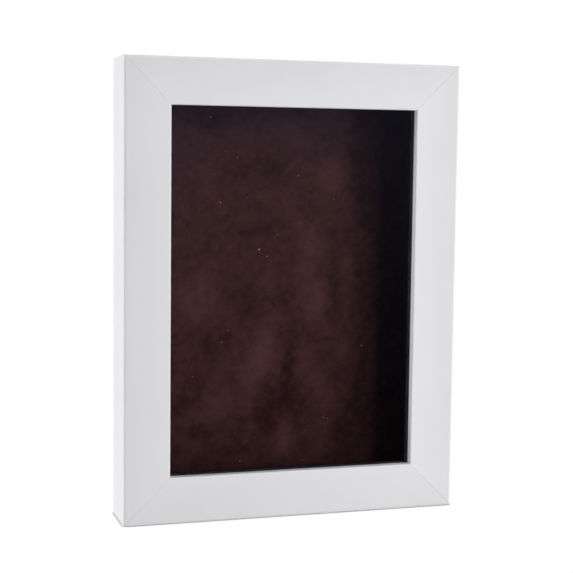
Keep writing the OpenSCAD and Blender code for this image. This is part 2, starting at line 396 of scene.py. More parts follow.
class Nodes:
    """A node tree, with short ways to fill it. A source is the output socket of a node."""

    def __init__(self, owner):
        owner.use_nodes = True
        self.tree = owner.node_tree
        self.tree.nodes.clear()

    def add(self, kind, *inputs, **values):
        """A new node. Inputs fill its sockets in order, lower case names are settings, others sockets."""
        node = self.tree.nodes.new(kind)
        for index, value in enumerate(inputs):
            self.feed(node, index, value)
        for key, value in values.items():
            if key.islower():
                setattr(node, key, value)
            else:
                self.feed(node, key.replace("_", " "), value)
        return node

    def feed(self, node, socket, value):
        """Links a source to a socket, or sets the socket to a constant."""
        if isinstance(value, bpy.types.NodeSocket):
            self.tree.links.new(value, node.inputs[socket])
        else:
            node.inputs[socket].default_value = value

    def spread(self, source, low, high, to_low=0.0, to_high=1.0, curve="LINEAR"):
        """Maps the range from low to high onto another."""
        node = self.add("ShaderNodeMapRange", source, low, high, to_low, to_high, interpolation_type=curve)
        return node.outputs["Result"]

    def choose(self, share, first, second):
        """Mixes two shaders by a share."""
        return self.add("ShaderNodeMixShader", share, first, second).outputs["Shader"]


class Finish(Nodes):
    """One material, and the noises and mixes that its sockets take."""

    def __init__(self, name):
        self.material = bpy.data.materials.new(name)
        super().__init__(self.material)
        self.place = self.add("ShaderNodeTexCoord").outputs["Object"]
        self.colours = bpy.context.scene.shadow_box_finishes

    def stretched(self, scale):
        """The object's coordinates, stretched by a scale along each axis."""
        return self.add("ShaderNodeMapping", Scale=scale, Vector=self.place).outputs["Vector"]

    def grain(self, scale, detail=2.0, rough=0.5, place=None):
        """Noise with features about 1 / scale metres across."""
        place = place or self.place
        node = self.add("ShaderNodeTexNoise", place, Scale=scale, Detail=detail, Roughness=rough)
        return node.outputs["Fac"]

    def painted(self, attribute):
        """A value painted on the mesh's points."""
        return self.add("ShaderNodeAttribute", attribute_name=attribute).outputs["Fac"]

    def sum(self, first, second, operation="ADD"):
        """Adds or multiplies a source and a second source or number."""
        return self.add("ShaderNodeMath", first, second, operation=operation).outputs["Value"]

    def blend(self, share, first, second):
        """Mixes two colours, each a plain colour or a source, by a share."""
        node = self.add("ShaderNodeMix", share, data_type="RGBA")
        for index, colour in ((6, first), (7, second)):
            linked = isinstance(colour, bpy.types.NodeSocket)
            self.feed(node, index, colour if linked else (*colour[:3], 1))
        return node.outputs[2]

    def shades(self, share, colour, low, high):
        """Mixes two shades of one colour by a share."""
        return self.blend(share, shade_of(colour, low), shade_of(colour, high))

    def relief(self, source, distance, strength, under=None):
        """Bump from a height, over any bump that lies under it."""
        node = self.add("ShaderNodeBump", Strength=strength, Distance=distance, Height=source)
        if under:
            self.feed(node, "Normal", under)
        return node.outputs["Normal"]

    def end(self, shader):
        """The material, with this shader as its surface."""
        self.add("ShaderNodeOutputMaterial", Surface=shader)
        return self.material

    def solid(self, **values):
        """The material, with a Principled shader that has these sockets."""
        return self.end(self.add("ShaderNodeBsdfPrincipled", **values).outputs["BSDF"])


def shade_of(colour, factor):
    """A colour made darker or lighter."""
    return tuple(channel * factor for channel in colour)


def paint_finish():
    """White satin paint with a faint roller texture and a trace of unevenness."""
    f = Finish("white_satin_paint")
    colour = f.colours.paint
    broad = f.spread(f.grain(28, 3), 0.35, 0.65)
    fine = f.spread(f.grain(420), 0.3, 0.7)
    tint = f.shades(broad, colour, 0.975, 1.01)
    tint = f.blend(f.spread(fine, 0, 1, 0, 0.12), tint, shade_of(colour, 0.93))
    # Painted light: the rail turns lighter towards the opening, standing in for how the light falls on it
    tint = f.blend(f.painted("painted_brightening"), tint, shade_of(colour, 1.10))
    rough = f.spread(f.grain(160, 3), 0.3, 0.7, 0.36, 0.46)
    peel = f.relief(f.grain(780), 0.00004, 0.5)
    waves = f.relief(f.grain(90), 0.00012, 0.35, peel)
    return f.solid(Base_Color=tint, Roughness=rough, Normal=waves, Specular_IOR_Level=0.42)


def fibreboard_finish():
    """Bare wood fibre, pale brown with darker flecks."""
    f = Finish("bare_fibreboard")
    colour = f.colours.fibreboard
    fibres = f.grain(900, 4, 0.65, f.stretched((1, 1, 0.35)))
    flecks = f.spread(f.grain(620, 3, 0.6), 0.58, 0.72)
    tint = f.shades(f.spread(fibres, 0.3, 0.7), colour, 0.80, 1.14)
    tint = f.blend(f.spread(flecks, 0, 1, 0, 0.55), tint, shade_of(colour, 0.55))
    rough = f.spread(fibres, 0.3, 0.7, 0.78, 0.92)
    fuzz = f.relief(fibres, 0.00012, 0.6)
    return f.solid(Base_Color=tint, Roughness=rough, Normal=fuzz, Specular_IOR_Level=0.25)


def card_finish():
    """Matt black card with a fine paper tooth."""
    f = Finish("matt_black_card")
    tooth = f.grain(1500, 3, 0.6)
    tint = f.shades(f.spread(f.grain(70, 3), 0.3, 0.7), f.colours.card, 0.8, 1.25)
    tint = f.blend(f.spread(tooth, 0.55, 0.75, 0, 0.5), tint, shade_of(f.colours.card, 1.9))
    rough = f.spread(tooth, 0.3, 0.7, 0.70, 0.88)
    bumps = f.relief(tooth, 0.00008, 0.5)
    return f.solid(Base_Color=tint, Roughness=rough, Normal=bumps, Specular_IOR_Level=0.22)


def suede_finish():
    """Brushed suede: the nap attribute says where its pile stands up and catches the light, and near the
    right edge it also carries painted shade.
    """
    f = Finish("brushed_suede")
    fluff = f.grain(900, 4, 0.7)
    pores = f.grain(2600, 2, 0.6)
    level = f.sum(f.painted("nap"), f.spread(fluff, 0.25, 0.75, -0.16, 0.16))
    level = f.sum(level, f.spread(pores, 0.25, 0.75, -0.10, 0.10))
    stand = f.spread(level, 0, 1)
    warm = f.blend(stand, f.colours.suede_dark, f.colours.suede_light)
    # Painted shade: a darker bluish tone mixed in along the top and the upper left
    painted_shade = f.shades(stand, f.colours.suede_painted_shade, 0.55, 1.5)
    pile = f.relief(fluff, 0.00025, 0.7)
    return f.solid(
        Base_Color=f.blend(f.painted("painted_shade"), warm, painted_shade),
        Roughness=f.spread(level, 0, 1, 0.97, 0.88),
        Normal=f.relief(pores, 0.00010, 0.6, pile),
        Specular_IOR_Level=0.08,
        Sheen_Weight=0.10,
        Sheen_Roughness=0.45,
        Sheen_Tint=(0.75, 0.42, 0.40, 1),
    )


def glass_finish():
    """Clear picture glass whose outer faces reflect weakly face on and more at a low angle."""
    f = Finish("picture_glass")
    clear = f.add("ShaderNodeBsdfTransparent", Color=(0.985, 0.995, 0.990, 1))
    film = f.spread(f.grain(45, 3), 0.4, 0.75, 0.015, 0.05)
    mirror = f.add("ShaderNodeBsdfGlossy", Color=(1, 1, 1, 1), Roughness=film)
    within = f.sum(f.add("ShaderNodeNewGeometry").outputs["Backfacing"], -1.0, "MULTIPLY")
    share = f.add("ShaderNodeFresnel", IOR=1.5).outputs["Fac"]
    share = f.sum(share, f.sum(within, 1.0), "MULTIPLY")
    return f.end(f.choose(share, clear.outputs["BSDF"], mirror.outputs["BSDF"]))


def hardboard_finish():
    """Smooth brown hardboard with dark and pale fibre flecks."""
    f = Finish("brown_hardboard")
    colour = f.colours.hardboard
    cloud = f.spread(f.grain(35, 4, 0.6), 0.3, 0.7)
    flecks = f.grain(700, 4, 0.7)
    pale = f.spread(f.grain(1100, 2, 0.6), 0.62, 0.74, 0, 0.6)
    tint = f.shades(cloud, colour, 0.86, 1.12)
    tint = f.blend(f.spread(flecks, 0.56, 0.72, 0, 0.7), tint, shade_of(colour, 0.48))
    tint = f.blend(pale, tint, shade_of(colour, 1.9))
    rough = f.spread(cloud, 0, 1, 0.48, 0.60)
    bumps = f.relief(flecks, 0.00006, 0.5)
    return f.solid(Base_Color=tint, Roughness=rough, Normal=bumps, Specular_IOR_Level=0.35)


def metal_finish(name, colour, rough, cloud_scale=240):
    """Plated metal with a cloudy crystal pattern and fine rub marks."""
    f = Finish(name)
    cloud = f.grain(cloud_scale, 3, 0.6)
    rub = f.grain(1400, 3, 0.6, f.stretched((1, 1, 0.15)))
    tint = f.shades(f.spread(cloud, 0.3, 0.7), colour, 0.86, 1.06)
    wear = f.spread(f.sum(cloud, rub, "MULTIPLY"), 0.12, 0.42, rough - 0.07, rough + 0.12)
    return f.solid(Base_Color=tint, Roughness=wear, Normal=f.relief(rub, 0.00003, 0.4), Metallic=1.0)


def rubber_finish():
    """Soft grey rubber with a dusty bloom."""
    f = Finish("bumper_rubber")
    bloom = f.spread(f.grain(520, 4, 0.65), 0.35, 0.75)
    tint = f.shades(bloom, f.colours.rubber, 0.85, 1.45)
    rough = f.spread(bloom, 0, 1, 0.50, 0.72)
    bumps = f.relief(f.grain(1300), 0.00005, 0.4)
    return f.solid(Base_Color=tint, Roughness=rough, Normal=bumps, Specular_IOR_Level=0.35)


def lint_finish():
    """Pale fluffy lint."""
    f = Finish("pale_lint")
    tint = f.shades(f.spread(f.grain(6000), 0.3, 0.7), f.colours.lint, 0.7, 1.1)
    return f.solid(Base_Color=tint, Roughness=0.95, Specular_IOR_Level=0.1, Sheen_Weight=0.3)


def ready(name, maker, *values):
    """A finish that is made once and shared."""
    return bpy.data.materials.get(name) or maker(*values)


def steel():
    """The plated steel of the fasteners."""
    colour = bpy.context.scene.shadow_box_finishes.steel
    return ready("plated_steel", metal_finish, "plated_steel", colour, 0.34)


# ---- Moulding ----


def face_depth(z, sizes):
    """How far the crowned face lies behind its crest, at a distance from the outer side."""
    radius = ((FACE - sizes.crest_inset) ** 2 + sizes.face_fall**2) / (2 * sizes.face_fall)
    return radius - math.sqrt(radius**2 - max(0.0, z - sizes.crest_inset) ** 2)


def moulding_length(length, sizes):
    """One straight length of the moulding, not yet mitred, lying along X."""
    half, seat = length / 2, GLASS_LO.y
    piece = edit(block("moulding", (-half, FRONT, 0), (half, seat, FACE)))
    slice_at((0, 0, WALL), (0, 0, 1))
    pick(piece, "FACE", lambda p: p.normal.y > 0.9 and p.calc_center_median().z < WALL)
    pull((0, BACK - seat, 0))
    step = (FACE - sizes.crest_inset) / sizes.crown_rows
    rows = [sizes.crest_inset + step * i for i in range(sizes.crown_rows + 1)]
    for z in rows[:-1]:
        slice_at((0, 0, z), (0, 0, 1))
    for z in rows[1:]:
        on_row = lambda v: abs(v.co.z - z) < NEAR and abs(v.co.y - FRONT) < NEAR
        shift(piece, on_row, (0, face_depth(z, sizes), 0))
    sight = FRONT + face_depth(FACE, sizes)
    for y, z, width, steps in (
        (FRONT, 0, sizes.outer_round, 6),
        (sight, FACE, sizes.sight_round, 5),
        (BACK, 0, sizes.back_round, 3),
        (BACK, WALL, sizes.back_round, 3),
        (seat, FACE, sizes.back_round, 2),
    ):
        on_line = lambda v: abs(v.co.y - y) < NEAR and abs(v.co.z - z) < NEAR
        round_off(piece, lambda e: all(on_line(v) for v in e.verts), width, steps)
    return piece


def mitre(piece, length, sizes):
    """Cuts both ends at 45 degrees and eases the cut edges."""
    setback = sizes.mitre_gap / math.sqrt(2)
    for end in (-1, 1):
        facing = Vector((end, 0, 1)).normalized()
        corner = Vector((end * (length / 2 - setback), 0, 0))
        slice_at(corner, facing, keep_all=False)
        on_cut = lambda v: abs((v.co - corner).dot(facing)) < NEAR / 5
        round_off(piece, lambda e: all(on_cut(v) for v in e.verts), sizes.mitre_ease, 2)
    return done(piece)


def v_nail_pockets(length):
    """Tools that cut the slots of the corner v nails into the back of both ends."""
    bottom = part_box("corner_v_nails")[0].y
    leg, half, insets = 4.54 * MM, 0.44 * MM, (WALL * 0.36, WALL * 0.74)
    tools = []
    for end in (-1, 1):
        for u in insets:
            x = end * (length / 2 - u)
            near, far = sorted((x + end * half, x - end * leg))
            tools.append(block("slot", (near, bottom, u - half), (far, BACK + MM, u + half)))
            tools.append(block("slot", (x - half, bottom, u - half), (x + half, BACK + MM, u + leg)))
    return tools


def fastener_holes(side, places, shank_r, reach):
    """Tools that cut blind holes for fasteners at these places into the back of a rail."""
    tools = []
    for place in places:
        low = BACK - (reach + HOLE_PLAY)
        hole = round_bar("hole", shank_r + HOLE_PLAY, low, BACK + MM, 32)
        hole.matrix_world = Matrix.Translation((from_world(side, place).x, 0, PIVOT)) @ POINT_BACK
        tools.append(settle(hole))
    return tools


def skin(piece, build):
    """Paints the front, outer side and lip, and stores at each point a painted brightening that grows
    towards the opening.
    """
    # Painted light: a brightening share that rises from the outer side towards the opening
    thick = piece.data.attributes.new("painted_brightening", "FLOAT", "POINT")
    for index, point in enumerate(piece.data.vertices):
        thick.data[index].value = build * point.co.z / FACE
    cuts = [Vector((end, 0, 1)).normalized() for end in (-1, 1)]
    lip_end, outer_depth = GLASS_LO.y - 0.3 * MM, 1.5 * MM
    for face in piece.data.polygons:
        n, c = face.normal, face.center
        cut = any(abs(n.dot(way)) > 0.995 for way in cuts)
        front = c.y < lip_end
        outer = n.z < -0.3 and c.z < outer_depth
        face.material_index = 0 if (front or outer) and not cut else 1


def pivot_places(side=""):
    """Where the turn buttons of one side, or of all, turn on their screws."""
    start, end = "button_", "_turn"
    hinges = [joint for joint in frame["joints"] if joint["name"].startswith(start + side)]
    return {j["name"].removeprefix(start).removesuffix(end): Vector(j["pos_m"]) for j in hinges}


def nail_places(side):
    """The places of the two nails of a hanger, from its box."""
    if side not in HANGERS:
        return []
    lo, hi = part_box(HANGERS[side])
    x, z = (lo.x + hi.x) / 2, (lo.z + hi.z) / 2
    if side == "top":
        return [Vector((x, BACK, z)) for x in (lo.x + TAB_INSET, hi.x - TAB_INSET)]
    return [Vector((x, BACK, z)) for z in (lo.z + TAB_INSET, hi.z - TAB_INSET)]


class SHADOWBOX_OT_moulding(bpy.types.Operator):
    """Models the four mitred rails"""

    bl_idname = "shadow_box.moulding"
    bl_label = "Moulding rails"

    def execute(self, context):
        sizes = context.scene.shadow_box_sizes
        paint = ready("white_satin_paint", paint_finish)
        bare = ready("bare_fibreboard", fibreboard_finish)
        for side in SIDES:
            length = HEIGHT if side in ("left", "right") else WIDTH
            rail = mitre(moulding_length(length, sizes), length, sizes)
            tools = v_nail_pockets(length)
            tools += fastener_holes(side, pivot_places(side).values(), SCREW_SHANK_R, sizes.screw_reach)
            tools += fastener_holes(side, nail_places(side), NAIL_SHANK_R, sizes.nail_reach)
            combine(rail, tools, "DIFFERENCE")
            skin(rail, PAINTED_BRIGHTENING[side])
            smooth(rail, 30)
            rail.name = rail.data.name = f"{side}_moulding"
            rail.matrix_world = on_side(side)
            settle(rail)
            hand_over(rail, "case", "white_moulding", f"{side}_rail", paint, bare)
        return {"FINISHED"}


# ---- Filling ----


def eased_block(name, lo, hi, width, steps):
    """A box with all its edges rounded."""
    piece = edit(block(name, lo, hi))
    round_off(piece, lambda e: True, width, steps)
    return done(piece)


class SHADOWBOX_OT_glass(bpy.types.Operator):
    """Models the glass with its ground edges"""

    bl_idname = "shadow_box.glass"
    bl_label = "Glass"

    def execute(self, context):
        arris = context.scene.shadow_box_sizes.glass_arris
        pane = eased_block("glass_sheet", GLASS_LO, GLASS_HI, arris, 1)
        hand_over(pane, "case", "clear_glass", "glass_pane", ready("picture_glass", glass_finish))
        return {"FINISHED"}


class SHADOWBOX_OT_card_strips(bpy.types.Operator):
    """Models the black card strips that line the walls"""

    bl_idname = "shadow_box.card_strips"
    bl_label = "Card strips"

    def execute(self, context):
        ease = context.scene.shadow_box_sizes.card_ease
        card = ready("matt_black_card", card_finish)
        for side in SIDES:
            lo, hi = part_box(f"{side}_spacer")
            strip = smooth(eased_block(f"{side}_card_strip", lo, hi, ease, 3), 40)
            hand_over(strip, "case", "black_card", f"{side}_spacer", card)
        return {"FINISHED"}


# Brushed marks in the nap, in millimetres and degrees: x and z from the sheet's middle, half width,
# half height, lean to the right, and how much more (or less) the pile stands up. The darkening marks from x
# = 36 mm out are painted shade that deepens the shadow of the right rail
NAP_AND_SHADE_MARKS = (
    (25, 53, 8, 9, 5, 0.24), (14, 15, 8, 13, 4, 0.26), (15, -6, 9, 9, 10, 0.20),
    (-9, -31, 7, 17, 18, 0.30), (-22, -53, 13, 7, -20, 0.15), (13, -37, 5, 9, 15, 0.17),
    (-40, -3, 11, 13, 0, 0.24), (-35, -57, 9, 6, 0, 0.13), (2, -76, 4.5, 9, 0, 0.24),
    (24, -55, 4, 5, 0, 0.11), (-3, 73, 10, 5, 0, 0.15), (-50, 60, 8, 22, 0, 0.10),
    (33, -10, 3, 20, 4, 0.10), (-14, 27, 8, 4, 0, -0.16), (-17, -5, 9, 8, 0, -0.13),
    (0, -6, 4, 8, 0, -0.10), (-6, -63, 7, 12, 15, -0.32), (27, 6, 3.5, 17, 0, -0.17),
    (19, -20, 3, 9, 45, -0.13), (4, -38, 3.5, 15, 8, -0.19), (-43, -40, 8, 8, 0, -0.13),
    (-49, -56, 5, 5, 0, -0.20), (-40, -68, 7, 4, 0, -0.16), (-22, -78, 13, 3, 0, -0.18),
    (-34, 78, 14, 4, 0, -0.16), (-4, 59, 9, 7, 0, -0.10), (42, 64, 9, 26, 0, -0.32),
    (56, 0, 6, 90, 0, -0.22), (42, -2, 6, 45, 0, -0.14), (36, -62, 12, 22, 0, -0.24),
    (10, -58, 7, 12, 0, -0.20), (4, -50, 7, 9, 0, -0.08),
)
MARK_GAIN = 1.35


def soft_mark(x, z, mark):
    """A mark's share at a point, fading from its middle."""
    cx, cz, wide, tall, lean, strength = mark
    turn = math.radians(lean)
    dx, dz = x - cx * MM, z - cz * MM
    across = (dx * math.cos(turn) - dz * math.sin(turn)) / (wide * MM)
    up = (dx * math.sin(turn) + dz * math.cos(turn)) / (tall * MM)
    return MARK_GAIN * strength * math.exp(-((across * across + up * up) ** 1.5))


def nap_and_shade_at(x, z, half_height):
    """How much the pile stands up at a point of the sheet, from 0 to 1, with painted shade near the right
    edge.
    """
    here = Vector((x, z, 0))
    clouds = noise.fractal(here * 75 + Vector((3.1, 8.4, 0)), 0.9, 2.1, 4)
    lean = math.radians(28)
    across = x * math.cos(lean) - z * math.sin(lean)
    up = x * math.sin(lean) + z * math.cos(lean)
    streaks = noise.fractal(Vector((across, up * 0.35, 0.7)) * 110, 0.9, 2.0, 3)
    lower = min(1.0, max(0.0, 0.55 - z / half_height))
    fine = noise.fractal(here * 290, 0.7, 2.1, 4)
    marks = sum(soft_mark(x, z, mark) for mark in NAP_AND_SHADE_MARKS)
    return 0.42 + 0.20 * clouds + 0.16 * lower * streaks + 0.18 * fine + marks


def painted_shade_share(x, z):
    """How much painted bluish shade the suede takes, most along the top and the upper left."""
    drift = 9 * MM * noise.noise(Vector((x * 45, z * 45, 5.3)))
    top = (z + drift - 50 * MM) / (38 * MM)
    left = (z - x + drift - 75 * MM) / (70 * MM)
    return 0.75 * min(1.0, max(0.0, top, left))


class SHADOWBOX_OT_suede(bpy.types.Operator):
    """Makes the suede sheet, stretched over the backing board"""

    bl_idname = "shadow_box.suede"
    bl_label = "Suede lining"

    def execute(self, context):
        sizes = context.scene.shadow_box_sizes
        size, centre, swell = SUEDE_HI - SUEDE_LO, (SUEDE_LO + SUEDE_HI) / 2, sizes.suede_swell
        across, up = (round(length / sizes.suede_cell) for length in (size.x, size.z))
        place, turn = (centre.x, SUEDE_LO.y + swell, centre.z), (math.pi / 2, 0, 0)
        sheet = grid("suede_panel", across, up, (size.x, size.z), place, turn)
        # The nap attribute also holds painted shade near the right edge
        nap = sheet.data.attributes.new("nap", "FLOAT", "POINT")
        # Painted shade along the top and the upper left
        painted_shade = sheet.data.attributes.new("painted_shade", "FLOAT", "POINT")
        for index, point in enumerate(sheet.data.vertices):
            x, z = point.co.x - centre.x, point.co.z - centre.z
            stand = nap_and_shade_at(x, z, size.z / 2)
            nap.data[index].value = stand
            painted_shade.data[index].value = painted_shade_share(x, z)
            edge = min(size.x / 2 - abs(x), size.z / 2 - abs(z)) / (2 * MM)
            rise = min(1.0, edge) * (0.5 + 0.5 * min(1.0, max(0.0, stand)))
            point.co.y = SUEDE_LO.y + swell * (1.15 - rise)
        apply_step(sheet, "SOLIDIFY", thickness=SUEDE_HI.y - SUEDE_LO.y - 1.2 * swell, offset=-1)
        take_up(sheet)
        bpy.ops.object.shade_smooth_by_angle(angle=math.radians(50))
        hand_over(sheet, "back_panel", "brown_suede", "suede_lining", ready("brushed_suede", suede_finish))
        return {"FINISHED"}


# Specks of lint on the suede: x and z from its middle and size, all in millimetres
SPECKS = (
    (-11, 17.8, 0.75), (-7, 14.5, 0.45), (-26, -20.5, 0.55), (-29, -26, 0.35), (-35, 80, 0.4),
    (-28, 64, 0.28), (-22, 61, 0.35), (8, 53, 0.38), (-30, 40, 0.45), (-17, 42.5, 0.28),
    (-11, 42.5, 0.22), (24, 42.5, 0.3), (26, 42, 0.26), (9.5, 30.5, 0.34), (-2, 25, 0.24),
    (41.5, -29.5, 0.45), (22.5, -64.3, 0.38), (24.5, -65, 0.36), (-43, -42, 0.28),
    (-19.5, -83.5, 0.4), (12, -84.8, 0.34),
)
SPECK_SCALE = 0.85


class SHADOWBOX_OT_lint(bpy.types.Operator):
    """Scatters a few specks of lint on the suede"""

    bl_idname = "shadow_box.lint"
    bl_label = "Lint"

    def execute(self, context):
        chance = random.Random(7)
        centre = (SUEDE_LO + SUEDE_HI) / 2
        specks = []
        for x, z, size in SPECKS:
            size *= SPECK_SCALE
            put_down()
            bpy.ops.mesh.primitive_ico_sphere_add(subdivisions=2, radius=0.5)
            speck = bpy.context.object
            for point in speck.data.vertices:
                point.co *= chance.uniform(0.7, 1.3)
            speck.scale = (size * MM, size * 0.35 * MM, size * chance.uniform(0.6, 1.4) * MM)
            speck.rotation_euler = (0, chance.uniform(0, math.pi), 0)
            speck.location = (centre.x + x * MM, SUEDE_LO.y + 0.02 * MM, centre.z + z * MM)
            specks.append(settle(speck))
        lint = gather("lint_specks", specks)
        bpy.ops.object.shade_smooth()
        hand_over(lint, "back_panel", "brown_suede", None, ready("pale_lint", lint_finish))
        size = SUEDE_HI - SUEDE_LO
        return {"FINISHED"}


class SHADOWBOX_OT_backing_board(bpy.types.Operator):
    """Models the hardboard that the suede is glued to"""

    bl_idname = "shadow_box.backing_board"
    bl_label = "Backing board"

    def execute(self, context):
        ease = context.scene.shadow_box_sizes.board_ease
        board = smooth(eased_block("backing_hardboard", BOARD_LO, BOARD_HI, ease, 3), 40)
        finish = ready("brown_hardboard", hardboard_finish)
        hand_over(board, "back_panel", "hardboard", "backing_board", finish)
        return {"FINISHED"}


# ---- Fasteners ----


def drawn_out(name, radius, tip, reach, sides):
    """Two round ends joined by straight sides: a disc with its far half scaled and moved."""
    piece = edit(disc(name, radius, sides))
    split = (radius - tip) * radius / reach - NEAR
    pick(piece, "VERT", lambda v: v.co.y > split)
    bpy.ops.transform.resize(value=(tip / radius,) * 3, center_override=(0, 0, 0))
    bpy.ops.transform.translate(value=(0, reach, 0))
    return piece


def thicken(piece, height):
    """Pulls a flat piece up to a height and turns its faces outwards."""
    pick(piece, "FACE", lambda p: True)
    pull((0, 0, height))
    bpy.ops.mesh.select_all(action="SELECT")
    bpy.ops.mesh.normals_make_consistent(inside=False)


def rim(z):
    """A test for the edges round the flat face at a height."""
    return lambda e: all(abs(v.co.z - z) < NEAR / 2 for v in e.verts) and len(e.link_faces) == 2


def turn_button_plate():
    """A pressed plate with a bore and a rib, flat on the ground plane with its tip along +Y."""
    hub, tip, reach, thick, bore = 4.5 * MM, 3.2 * MM, 12.5 * MM, 1.2 * MM, 1.58 * MM
    plate = drawn_out("plate", hub, tip, reach, 72)
    thicken(plate, thick)
    for z in (0, thick):
        round_off(plate, rim(z), 0.22 * MM, 3)
    done(plate)
    combine(plate, [round_bar("bore", bore, -MM, thick + MM, 48)], "DIFFERENCE")
    half, start, tall, sunk = 1.12 * MM, 4.1 * MM, 0.5 * MM, 0.2 * MM
    rib = drawn_out("rib", half, half, reach - start - half, 40)
    thicken(rib, tall + sunk)
    round_off(rib, rim(tall + sunk), 0.38 * MM, 4)
    done(rib).location = (0, start + half, thick - sunk)
    combine(plate, [settle(rib)], "UNION")
    return smooth(plate, 40)


class SHADOWBOX_OT_turn_buttons(bpy.types.Operator):
    """Models one turn button and puts a copy at each of the eight screws"""

    bl_idname = "shadow_box.turn_buttons"
    bl_label = "Turn buttons"

    def execute(self, context):
        model = turn_button_plate()
        for name, pivot in pivot_places().items():
            side = name.split("_")[0]
            spot = from_world(side, pivot)
            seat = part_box(f"turn_button_{name}")[0].y
            aside = Matrix.Rotation(math.copysign(math.pi / 2, spot.x), 4, "Y")
            place = on_side(side) @ Matrix.Translation((spot.x, seat, PIVOT)) @ aside @ STAND_UP
            button = copy_to(model, f"turn_button_{name}_plate", place)
            hand_over(button, f"button_{name}", "zinc_steel", f"turn_button_{name}", steel())
        bpy.data.objects.remove(model)
        return {"FINISHED"}


def headed_pin(name, head_r, head_h, dome, shank_r, shank_l, sides=48):
    """A domed head on a pointed shank, along +Z with the head's underside at z = 0."""
    pin = edit(round_bar(name, head_r, 0, head_h, sides))
    round_off(pin, rim(head_h), dome, 7)
    pick(pin, "FACE", lambda p: p.normal.z < -0.9)
    bpy.ops.mesh.inset(thickness=head_r - shank_r)
    pull((0, 0, -(shank_l - 2 * shank_r)))
    pull((0, 0, -2 * shank_r))
    bpy.ops.transform.resize(value=(0.2, 0.2, 1))
    return done(pin)


def screw_model(reach):
    """A pan head screw with a cross recess."""
    head_r, head_h, dome = 3.1 * MM, SCREW_HEAD_H, 1.25 * MM
    screw = headed_pin("screw", head_r, head_h, dome, SCREW_SHANK_R, reach)
    half_l, half_w = head_r * 0.6, head_r * 0.11
    slots = []
    for turn in (0, 90):
        slot = edit(block("slot", (-half_l, -half_w, head_h * 0.5), (half_l, half_w, head_h + MM)))
        pick(slot, "FACE", lambda p: p.normal.z < -0.9)
        bpy.ops.transform.resize(value=(0.7, 0.8, 1))
        done(slot)
        slot.rotation_euler = (0, 0, math.radians(turn))
        slots.append(settle(slot))
    combine(screw, slots, "DIFFERENCE")
    return smooth(screw, 40)


class SHADOWBOX_OT_pivot_screws(bpy.types.Operator):
    """Models one pan head screw and puts a copy through each turn button"""

    bl_idname = "shadow_box.pivot_screws"
    bl_label = "Pivot screws"

    def execute(self, context):
        reach = context.scene.shadow_box_sizes.screw_reach
        chance = random.Random(11)
        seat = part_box("pivot_screws")[1].y - SCREW_HEAD_H
        spots = []
        for place in pivot_places().values():
            turned = Matrix.Rotation(chance.uniform(0, math.pi / 2), 4, "Z")
            spots.append(Matrix.Translation((place.x, seat, place.z)) @ POINT_BACK @ turned)
        screws = set_of("pivot_screw_set", screw_model(seat - BACK + reach), spots)
        hand_over(screws, "case", "zinc_steel", "pivot_screws", steel())
        return {"FINISHED"}


def hanger_model():
    """A sawtooth strip on the ground plane: flat tabs, a raised bridge and notches along its far edge."""
    lift, bridge, foot, notch, columns = 1.4 * MM, 14 * MM, 15 * MM, 1.3 * MM, 46
    near, trim = 0.05 * MM, 0.5 * MM
    strip = edit(grid("strip", columns, 3, (columns * MM, HANGER_WIDTH), (0, HANGER_WIDTH / 2, 0)))
    for end in (-1, 1):
        shift(strip, lambda v: end * v.co.x > HANGER_LENGTH / 2 + near, (-end * trim, 0, 0))
    shift(strip, lambda v: abs(abs(v.co.x) - foot) < near, (0, 0, lift / 2))
    shift(strip, lambda v: abs(v.co.x) < bridge + near, (0, 0, lift))
    roots = [x * MM for x in range(-11, 12, 2)]
    at_root = lambda v: v.co.y > HANGER_WIDTH - near and any(abs(v.co.x - x) < near for x in roots)
    shift(strip, at_root, (0, -notch, 0))
    done(strip)
    apply_step(strip, "SOLIDIFY", thickness=HANGER_THICK, offset=1)
    hole_x = HANGER_LENGTH / 2 - TAB_INSET
    spots = [(side * hole_x, HANGER_WIDTH / 2) for side in (-1, 1)]
    holes = [round_bar("hole", NAIL_SHANK_R + HOLE_PLAY, -MM, 3 * MM, 32, spot) for spot in spots]
    combine(strip, holes, "DIFFERENCE")
    apply_step(strip, "BEVEL", width=0.12 * MM, segments=2, angle_limit=math.radians(50))
    return smooth(strip, 30)


class SHADOWBOX_OT_hangers(bpy.types.Operator):
    """Models one sawtooth hanger and puts a copy on the top and the left rail"""

    bl_idname = "shadow_box.hangers"
    bl_label = "Sawtooth hangers"

    def execute(self, context):
        model = hanger_model()
        for side, node in HANGERS.items():
            place = on_side(side) @ Matrix.Translation((0, BACK, PIVOT - HANGER_WIDTH / 2)) @ STAND_UP
            hanger = copy_to(model, f"{side}_sawtooth_hanger", place)
            hand_over(hanger, "case", "zinc_steel", node, steel())
        bpy.data.objects.remove(model)
        return {"FINISHED"}


class SHADOWBOX_OT_hanger_nails(bpy.types.Operator):
    """Models one round head nail and puts two through each hanger"""

    bl_idname = "shadow_box.hanger_nails"
    bl_label = "Hanger nails"

    def execute(self, context):
        colour = context.scene.shadow_box_finishes.brass
        head_r, head_h, dome = 1.8 * MM, 0.8 * MM, 0.55 * MM
        reach = context.scene.shadow_box_sizes.nail_reach + HANGER_THICK
        model = smooth(headed_pin("nail", head_r, head_h, dome, NAIL_SHANK_R, reach, 36), 40)
        on_strip = Vector((0, HANGER_THICK, 0))
        places = [place + on_strip for side in HANGERS for place in nail_places(side)]
        nails = set_of("hanger_nail_set", model, [Matrix.Translation(at) @ POINT_BACK for at in places])
        brass = ready("brassed_steel", metal_finish, "brassed_steel", colour, 0.30, 500)
        hand_over(nails, "case", "brass_nail", "hanger_nails", brass)
        return {"FINISHED"}


class SHADOWBOX_OT_corner_nails(bpy.types.Operator):
    """Gives the corner v nails their plated steel"""

    bl_idname = "shadow_box.corner_nails"
    bl_label = "Corner v nails"

    def execute(self, context):
        nails = frame["nodes"]["corner_v_nails"]
        nails.data.materials.clear()
        nails.data.materials.append(steel())
        return {"FINISHED"}


